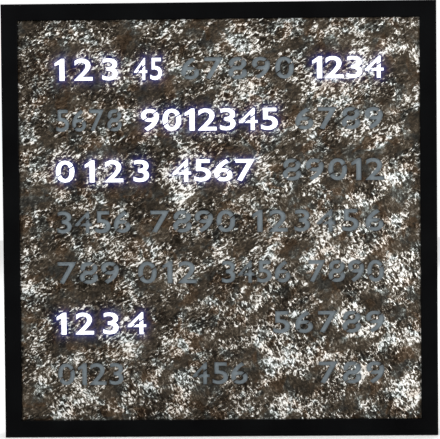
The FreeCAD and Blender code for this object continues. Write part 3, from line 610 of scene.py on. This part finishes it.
# Painted light: the pattern rises a little towards the right and the bottom, so the leaf is painted brighter
# towards the lower right.
painted_light_slope = add_node(tree, "ShaderNodeVectorMath",
                  {"operation": "DOT_PRODUCT", 1: (PAINTED_LIGHT_RIGHT, 0, -PAINTED_LIGHT_DOWN)}, {0: place})
corner = add_node(tree, "ShaderNodeVectorMath",
                  {"operation": "DOT_PRODUCT", 1: (TURN_LEAN, 0, -TURN_LEAN)}, {0: place})
wander = add_node(tree, "ShaderNodeMath", {"operation": "ADD"},
                  {0: grain(tree, place, TURN_SIZE, detail=2), 1: corner.outputs["Value"]})
turned_share = add_node(tree, "ShaderNodeMapRange", {"From Min": TURN_FROM, "From Max": TURN_TO},
                        {"Value": wander.outputs[0]})
flecks = add_node(tree, "ShaderNodeMix", {"data_type": "FLOAT"},
                  {0: turned_share.outputs[0], 2: rising, 3: falling}).outputs[0]
patches = grain(tree, place, PATCH_SIZE, detail=3, rough=0.6)
creases = grain(tree, place, CREASE_SIZE, CREASE_STRETCH, SLANTED, detail=1.5, rough=0.6, distortion=1.2)
from_line = add_node(tree, "ShaderNodeMath", {"operation": "SUBTRACT", 1: 0.5}, {0: creases})
from_line = add_node(tree, "ShaderNodeMath", {"operation": "ABSOLUTE"}, {0: from_line.outputs[0]})
# Painted glint: a thin bright line is added to the pattern where the crease noise crosses its middle.
painted_crease_glint = add_node(tree, "ShaderNodeMapRange",
                  {"From Min": 0.0, "From Max": CREASE_WIDTH, "To Min": CREASE_GLINT_LIFT, "To Max": 0.0},
                  {"Value": from_line.outputs[0]})
lifted = add_node(tree, "ShaderNodeMath", {"operation": "MULTIPLY_ADD", 1: PATCH_SHARE},
                  {0: patches, 2: flecks})
lifted = add_node(tree, "ShaderNodeMath", {"operation": "ADD"},
                  {0: lifted.outputs[0], 1: painted_crease_glint.outputs[0]})
leaned = add_node(tree, "ShaderNodeMath", {"operation": "ADD"},
                  {0: lifted.outputs[0], 1: painted_light_slope.outputs["Value"]})
pool = add_node(tree, "ShaderNodeMapRange",
                {"From Min": POOL_FROM, "From Max": POOL_TO, "To Max": POOL_COVER},
                {"Value": grain(tree, place, POOL_SIZE, SLANTED_STRETCH, SLANTED, detail=4, distortion=0.5)})
pool_tone = add_node(tree, "ShaderNodeMath",
                     {"operation": "MULTIPLY_ADD", 1: POOL_RANGE, 2: POOL_LEVEL - POOL_RANGE / 2},
                     {0: grain(tree, place, POOL_TONE_SIZE, SLANTED_STRETCH, SLANTED, detail=4)})
leaned = add_node(tree, "ShaderNodeMix", {"data_type": "FLOAT"},
                  {0: pool.outputs[0], 2: leaned.outputs[0], 3: pool_tone.outputs[0]})
print("the leaf's pattern is made of", len(tree.nodes), "nodes")

# %% [markdown]
# ## Tarnished foil, then its tones
# The pattern's height chooses a tone. The ramp is steep: it stays dark for half its way and then
# climbs to silver at once, so it paints glints and dark reflections into the leaf's colour. There
# are three ramps, for warm leaf, for a green grey bloom and for a little rust, and broad noises
# choose between them.
# Each cut has a thin painted shadow, a dark line along its edge, and the metal next to a
# lit figure takes a faint blue halo. Metal keeps the default IOR.

# %% The tones, the gloss and the halo of the leaf
FOIL_DARK, FOIL_BRIGHT = 0.610, 0.922
BLOOM_SIZE, BLOOM_FROM, BLOOM_TO = 18, 0.50, 0.60
STAIN_SIZE, STAIN_FROM, STAIN_TO = 20, 0.54, 0.62
EDGE_SHADE = 0.8
HALO_LEVEL = 0.25
DENT_DEPTH, DENT_STRENGTH = 0.8, 0.8

# Painted glints and painted dark reflection: the steep ramps put near white silver and dark umber into the
# leaf's colour, over the hues of its tarnish.
steep = add_node(tree, "ShaderNodeMapRange", {"From Min": FOIL_DARK, "From Max": FOIL_BRIGHT},
                 {"Value": leaned.outputs[0]})
warm = ramp(tree, steep.outputs[0], [
    (0.03, "#1F1B16"), (0.30, "#332E28"), (0.465, "#463E34"), (0.577, "#5B5247"), (0.70, "#867F74"),
    (0.77, "#B6B1A8"), (0.83, "#D6D2CA"), (0.90, "#FDFBF6")])
cool = ramp(tree, steep.outputs[0], [
    (0.03, "#1D1C1A"), (0.30, "#302F2C"), (0.465, "#42403B"), (0.577, "#5C5C57"), (0.70, "#8C908B"),
    (0.77, "#B0B8B4"), (0.83, "#CBD2CF"), (0.90, "#F6F9F9")])
rust = ramp(tree, steep.outputs[0], [
    (0.2, "#261E17"), (0.55, "#524436"), (0.72, "#807060"), (0.9, "#F0E8DE")])
bloom = add_node(tree, "ShaderNodeMapRange", {"From Min": BLOOM_FROM, "From Max": BLOOM_TO},
                 {"Value": grain(tree, place, BLOOM_SIZE, detail=3)})
stain = add_node(tree, "ShaderNodeMapRange", {"From Min": STAIN_FROM, "From Max": STAIN_TO},
                 {"Value": grain(tree, place, STAIN_SIZE, detail=3, distortion=0.6)})
tone = add_node(tree, "ShaderNodeMix", {"data_type": "RGBA"}, {0: bloom.outputs[0], 6: warm, 7: cool})
tone = add_node(tree, "ShaderNodeMix", {"data_type": "RGBA"},
                {0: stain.outputs[0], 6: tone.outputs[2], 7: rust})
# Painted shadow: a thin dark line along every cut, darkest at the cut's edge.
painted_edge_shade = add_node(tree, "ShaderNodeAttribute", {"attribute_name": "painted_edge_shade"})
shade = add_node(tree, "ShaderNodeMath", {"operation": "MULTIPLY", 1: EDGE_SHADE},
                 {0: painted_edge_shade.outputs["Fac"]})
tone = add_node(tree, "ShaderNodeMix", {"data_type": "RGBA", 7: linear("#17171A")},
                {0: shade.outputs[0], 6: tone.outputs[2]})
tree.links.new(tone.outputs[2], shader.inputs["Base Color"])
tree.links.new(spread(tree, flecks, 0.42, 0.24), shader.inputs["Roughness"])
dents = add_node(tree, "ShaderNodeMix", {"data_type": "FLOAT", 3: 0.5}, {0: pool.outputs[0], 2: flecks})
bump_from(tree, shader, dents.outputs[0], DENT_DEPTH, DENT_STRENGTH)
glow = add_node(tree, "ShaderNodeAttribute", {"attribute_name": "glow"})
halo = add_node(tree, "ShaderNodeMath", {"operation": "MULTIPLY", 1: HALO_LEVEL}, {0: glow.outputs["Fac"]})
tree.links.new(halo.outputs[0], shader.inputs["Emission Strength"])
shader.inputs["Emission Color"].default_value = linear("#4A52C8")

make_piece("stencil_sheet", foil, [foil_finish], stands_for="face_plate")

# %% [markdown]
# ## The opal sheet behind the cuts
# The light comes through a sheet of opal acrylic. Where the lamps behind it are off it shows as
# a flat blue grey, and where they are on it is white. The sheet is one piece, so plane cuts
# divide it into fields halfway between the rows and beside every lit place, and the fields
# behind lit places take the lit finish. The cells behind the sheet end in the same way.

# %% Cut the opal sheet into fields
FIELD_MARGIN = 4
LIT_LEVEL = 1.25
opal = bmesh.new()
bmesh.ops.create_cube(opal, size=1)
middle = (sheet_low + sheet_high) / 2
span = sheet_high - sheet_low
in_place = Matrix.Translation(middle) @ Matrix.Diagonal((*span, 1))
bmesh.ops.transform(opal, matrix=in_place, verts=opal.verts)


def slice_at(bm, axis, spot):
    """Cut the sheet square to an axis, without taking anything away."""
    normal = Vector((0, 0, 0))
    normal[axis] = 1
    everything = bm.verts[:] + bm.edges[:] + bm.faces[:]
    bmesh.ops.bisect_plane(bm, geom=everything, plane_co=normal * spot, plane_no=normal)


for row, places in enumerate(PLACES):
    for side in (-1, 1):
        slice_at(opal, 2, row_middle(row) + side * ROW_PITCH / 2 * MM)
    for left, right, how_many, lit in places:
        if lit:
            slice_at(opal, 0, (left - FIELD_MARGIN) * MM)
            slice_at(opal, 0, (right + FIELD_MARGIN) * MM)


def is_lit(x, z):
    """Whether a spot on the sheet has lamps that are on behind it."""
    for row, places in enumerate(PLACES):
        if abs(z - row_middle(row)) < ROW_PITCH / 2 * MM:
            return any(lit and left - FIELD_MARGIN < x / MM < right + FIELD_MARGIN
                       for left, right, how_many, lit in places)
    return False


for face in opal.faces:
    centre = face.calc_center_median()
    face.material_index = 1 if is_lit(centre.x, centre.z) else 0

dark_opal = simple_finish("opal_acrylic_unlit", "#6C767C", "#788389", 9, (0.3, 0.4), 0.02)
lit_opal, tree, shader, place = new_finish("opal_acrylic_lit", roughness=0.4)
shader.inputs["Base Color"].default_value = linear("#F2F4FF")
shine = ramp(tree, grain(tree, place, 30, detail=1), [(0.3, "#F4F6FF"), (0.7, "#FFFFFF")])
tree.links.new(shine, shader.inputs["Emission Color"])
shader.inputs["Emission Strength"].default_value = LIT_LEVEL
make_piece("opal_sheet", opal, [dark_opal, lit_opal], stands_for="diffuser_sheet")

# %% [markdown]
# ## Black lacquer
# The frame is wood under a satin black lacquer. Sprayed lacquer keeps a faint orange peel and
# the long grain shows only in the gloss. At a straight look it is nearly black, with a little
# blue where it mirrors the sky, so the shader's specular level is low and the colour uneven.

# %% The frame's finish
PEEL_SIZE, LONG_GRAIN_SIZE = 2.4, 60
lacquer, tree, shader, place = new_finish("satin_black_lacquer", roughness=0.34,
                                          **{"Specular IOR Level": 0.03})
peel = grain(tree, place, PEEL_SIZE, detail=2)
long_grain = grain(tree, place, LONG_GRAIN_SIZE, detail=2)
tone = ramp(tree, long_grain, [(0.3, "#040405"), (0.7, "#090A0B")])
tree.links.new(tone, shader.inputs["Base Color"])
tree.links.new(spread(tree, long_grain, 0.26, 0.42), shader.inputs["Roughness"])
bump_from(tree, shader, peel, 0.05, 0.4)


def refinish(finish, *names):
    """Give bare nodes a finish instead of their plain colour."""
    for name in names:
        nodes[name].data.materials.clear()
        nodes[name].data.materials.append(finish)
    print(finish.name, "on", ", ".join(names))


refinish(lacquer, *[f"frame_{side}_rail" for side in ("top", "right", "bottom", "left")])

# %% [markdown]
# ## The plain pieces behind and inside
# The back is a hardboard panel, brown and finely felted. The steel pieces are zinc plated, which
# is bluish and a little cloudy. Rubber, moulded plastic and circuit board get their own
# two tone finishes, each with a pattern of its real size.

# %% Finishes of the back and of the inner pieces
hardboard = simple_finish("oiled_hardboard", "#4A2F1C", "#6B4930", 1.6, (0.55, 0.75), 0.12,
                          detail=6, rough=0.7)
zinc = simple_finish("bright_zinc_plating", "#A9ADB0", "#D2D5D6", 3.5, (0.25, 0.42), 0.03, metallic=1.0)
nickel = simple_finish("bright_nickel", "#C9C4B8", "#E4E0D6", 2.0, (0.14, 0.26), 0.02, metallic=1.0)
brass = simple_finish("turned_brass", "#B08A45", "#D8B970", 1.0, (0.2, 0.35), 0.02, metallic=1.0,
                      stretch=(1, 6, 1))
rubber = simple_finish("soft_black_rubber", "#161616", "#262626", 0.8, (0.7, 0.9), 0.05)
black_plastic = simple_finish("moulded_black_plastic", "#141415", "#202022", 0.7, (0.4, 0.55), 0.03)
grey_plastic = simple_finish("moulded_grey_plastic", "#5A5C60", "#6C6E72", 0.7, (0.45, 0.6), 0.03)
white_board = simple_finish("white_foam_board", "#E2E2DF", "#F0F0EE", 6, (0.7, 0.85), 0.03)
pine = simple_finish("planed_softwood", "#B98D5A", "#D9B27E", 4, (0.5, 0.7), 0.08, stretch=(8, 1, 1))
green_board = simple_finish("green_solder_resist", "#0B4A26", "#146336", 5, (0.25, 0.4), 0.02)
strip_white = simple_finish("white_lamp_strip", "#DCDCD8", "#EFEFEC", 5, (0.4, 0.55), 0.02)
red_wire = simple_finish("red_wire_jacket", "#7C1A14", "#A02A20", 3, (0.4, 0.5), 0.02)

refinish(hardboard, "back_panel")
refinish(zinc, "corner_braces", "hanger_strap_left", "hanger_strap_right", "board_screws")
refinish(nickel, "dc_socket", "dc_socket_nut", "coin_cell", "supply_capacitor", "processor_module")
refinish(brass, "board_posts")
refinish(rubber, "wall_bumpers")
refinish(black_plastic, "button_switches", "coin_cell_holder", "power_lead", "led_lead", "clock_chip")
refinish(grey_plastic, "power_connector", "led_connector")
refinish(white_board, "baffle_grid", "led_carrier")
refinish(pine, "front_spacers", "rear_spacers")
refinish(green_board, "controller_board")
refinish(red_wire, "strip_ribbons")
refinish(strip_white, *[f"led_strip_row_{row}" for row in range(1, ROWS + 1)])

# %% [markdown]
# ## Wood screws
# All the screws of the back are one pattern: a pan head with a cross recess on a plain shank. The
# head is a half profile turned about the screw's axis. The cross is two crossed bars that taper
# to the bottom, taken out with a boolean, because that keeps the head's dome clean around it.
# The pattern is made once and then set at the middle of each screw of the bare model.

# %% The pattern of a screw, its seat at y = 0 and its head towards +Y
HEAD_HEIGHT = 1.6
SHANK_RADIUS = 1.5
SCREW_SIDES = 24
# The head's outline, from its seat to its top, in shares of its radius and of its height
HEAD_OUTLINE = ((1, 0), (1, 0.35), (0.92, 0.7), (0.7, 0.95), (0, 1))
# The cross, in shares of the head's radius and height
CROSS_FOOT, CROSS_MOUTH, CROSS_DEPTH, CROSS_MIDDLE = 0.12, 0.62, 1.2, 0.95
BAR_THINNESS = 0.26
TIP_SHARE = 0.4
TURN_STEP = 37


def turned(bm, profile, sides=SCREW_SIDES):
    """A closed solid turned about Y from (radius, y) points that start and end on the axis."""
    line = [bm.verts.new((radius, y, 0)) for radius, y in profile]
    edges = [bm.edges.new(pair) for pair in zip(line, line[1:])]
    bmesh.ops.spin(bm, geom=line + edges, cent=(0, 0, 0), axis=(0, 1, 0), angle=math.tau,
                   steps=sides, use_merge=True)
    bmesh.ops.remove_doubles(bm, verts=bm.verts, dist=0.001 * MM)
    bmesh.ops.recalc_face_normals(bm, faces=bm.faces)


def screw_mesh(head, shank, length):
    """A pan head screw from its radii and its length under the head, in metres."""
    bm = bmesh.new()
    tall = HEAD_HEIGHT * MM
    shaft = [(0, -length), (shank * TIP_SHARE, -length), (shank, -length + shank), (shank, 0)]
    turned(bm, shaft + [(head * wide, tall * up) for wide, up in HEAD_OUTLINE])
    solid = bpy.data.meshes.new("screw_solid")
    bm.to_mesh(solid)
    bm.free()
    cross = bmesh.new()
    square = Matrix.Rotation(math.radians(45), 4, "Z")
    thin = Matrix.Diagonal((1, BAR_THINNESS, 1, 1))
    stand = Matrix.Rotation(math.radians(-90), 4, "X") @ thin @ square
    lift = Matrix.Translation((0, tall * CROSS_MIDDLE, 0))
    for turn in (0, 90):
        made = bmesh.ops.create_cone(cross, cap_ends=True, segments=4, radius1=head * CROSS_FOOT,
                                     radius2=head * CROSS_MOUTH, depth=tall * CROSS_DEPTH)
        spin = Matrix.Rotation(math.radians(turn), 4, "Y")
        bmesh.ops.transform(cross, matrix=lift @ spin @ stand, verts=made["verts"])
    cutter = bpy.data.meshes.new("cross_cutter")
    cross.to_mesh(cutter)
    cross.free()
    return cut_through(solid, cutter, overlapping=True)


def loose_boxes(name):
    """The low and high corner of each separate solid of a node."""
    bm = bmesh.new()
    bm.from_mesh(nodes[name].data)
    bmesh.ops.remove_doubles(bm, verts=bm.verts, dist=0.01 * MM)
    left = set(bm.verts)
    boxes = []
    while left:
        group = [left.pop()]
        for v in group:
            for line in v.link_edges:
                other = line.other_vert(v)
                if other in left:
                    left.remove(other)
                    group.append(other)
        boxes.append((Vector(min(v.co[axis] for v in group) for axis in range(3)),
                      Vector(max(v.co[axis] for v in group) for axis in range(3))))
    bm.free()
    return sorted(boxes, key=lambda box: tuple(box[0]))


def set_screws(node_name, label):
    """One pattern screw at each screw of a node."""
    boxes = loose_boxes(node_name)
    low, high = boxes[0]
    head = (high.x - low.x) / 2
    pattern = screw_mesh(head, SHANK_RADIUS * MM, high.y - low.y - HEAD_HEIGHT * MM)
    bm = bmesh.new()
    for number, (low, high) in enumerate(boxes):
        before = len(bm.verts)
        bm.from_mesh(pattern)
        bm.verts.ensure_lookup_table()
        middle = (low + high) / 2
        seat = Matrix.Translation((middle.x, high.y - HEAD_HEIGHT * MM, middle.z))
        turn = Matrix.Rotation(math.radians(TURN_STEP * number), 4, "Y")
        bmesh.ops.transform(bm, matrix=seat @ turn, verts=bm.verts[before:])
    make_piece(label, bm, [zinc], stands_for=node_name, smooth_angle=35)


set_screws("corner_brace_screws", "brace_pan_screws")
set_screws("back_panel_screws", "panel_pan_screws")
set_screws("hanger_screws", "hanger_pan_screws")

# %% [markdown]
# ## Hanger rings
# The bare model's rings are six sided wire, which is enough for the motion. A real ring is round
# wire, bent with small corners beside its bar and a half circle at its free end. A loop of points
# follows that path, and a circle of points round each of them makes the wire. The path lies flat,
# so the circle needs no twist.

# %% Round wire rings
RING_CORNER = 2
WIRE_SIDES = 16
CORNER_STEPS, END_STEPS = 5, 20


def arc(x, z, radius, start, end, steps):
    """Points along an arc about a middle in X and Z, angles in degrees."""
    turns = [math.radians(start + (end - start) * step / steps) for step in range(steps + 1)]
    return [(x + radius * math.cos(turn), z + radius * math.sin(turn)) for turn in turns]


def ring_piece(node_name, label, body):
    """A round wire bent as the bare ring's box asks, riding on the ring's body."""
    low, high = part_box(node_name)
    wire = (high.y - low.y) / 2
    middle = (low + high) / 2
    half = (high.x - low.x) / 2 - wire
    bar = high.z - wire
    leg = bar - (low.z + wire + half)
    corner = RING_CORNER * MM
    path = arc(half - corner, -corner, corner, 90, 0, CORNER_STEPS)
    path += arc(0, -leg, half, 0, -180, END_STEPS)
    path += arc(-half + corner, -corner, corner, 180, 90, CORNER_STEPS)
    turns = [math.tau * step / WIRE_SIDES for step in range(WIRE_SIDES)]
    bm = bmesh.new()
    rings = []
    for number, (x, z) in enumerate(path):
        before = Vector(path[number - 1])
        after = Vector(path[(number + 1) % len(path)])
        along = (after - before).normalized()
        side = Vector((-along.y, 0, along.x))
        centre = Vector((middle.x + x, middle.y, bar + z))
        outward = [side * math.cos(turn) + Vector((0, math.sin(turn), 0)) for turn in turns]
        rings.append([bm.verts.new(centre + wire * way) for way in outward])
    for first, second in zip(rings, rings[1:] + rings[:1]):
        for step in range(WIRE_SIDES):
            following = (step + 1) % WIRE_SIDES
            bm.faces.new((first[step], first[following], second[following], second[step]))
    bmesh.ops.recalc_face_normals(bm, faces=bm.faces)
    make_piece(label, bm, [zinc], stands_for=node_name, body=body, smooth_angle=60)


ring_piece("hanger_ring_left", "wire_ring_left", "ring_left")
ring_piece("hanger_ring_right", "wire_ring_right", "ring_right")

# %% [markdown]
# ## Push buttons
# Each button is a moulded cap with a softly rounded rim and a collar that keeps it behind the
# panel. It is turned like the screws, and its sizes come from the bare button's box: the cap is
# the part that stands beyond the collar.

# %% Rounded button caps
CAP_RADIUS = 2.5
COLLAR_THICK = 1.2
RIM = 0.6
RIM_BULGE = 0.3
DISH_SIDE, DISH_MIDDLE = 0.1, 0.15
BUTTON_SIDES = 32
cap = CAP_RADIUS * MM
collar = COLLAR_THICK * MM
rim = RIM * MM
bulge = rim * RIM_BULGE
for name in ("hour_button", "minute_button", "brightness_button"):
    low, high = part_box(name)
    middle = (low + high) / 2
    flange = (high.x - low.x) / 2
    tall = high.y - low.y
    skirt = [(0, 0), (flange, 0), (flange, collar), (cap, collar), (cap, tall - rim)]
    crown = [(cap - bulge, tall - bulge), (cap - rim, tall)]
    dish = [(cap / 2, tall - DISH_SIDE * MM), (0, tall - DISH_MIDDLE * MM)]
    bm = bmesh.new()
    turned(bm, skirt + crown + dish, BUTTON_SIDES)
    bmesh.ops.translate(bm, verts=bm.verts, vec=(middle.x, low.y, middle.z))
    make_piece("moulded_" + name, bm, [black_plastic], stands_for=name,
               body=name, smooth_angle=40)
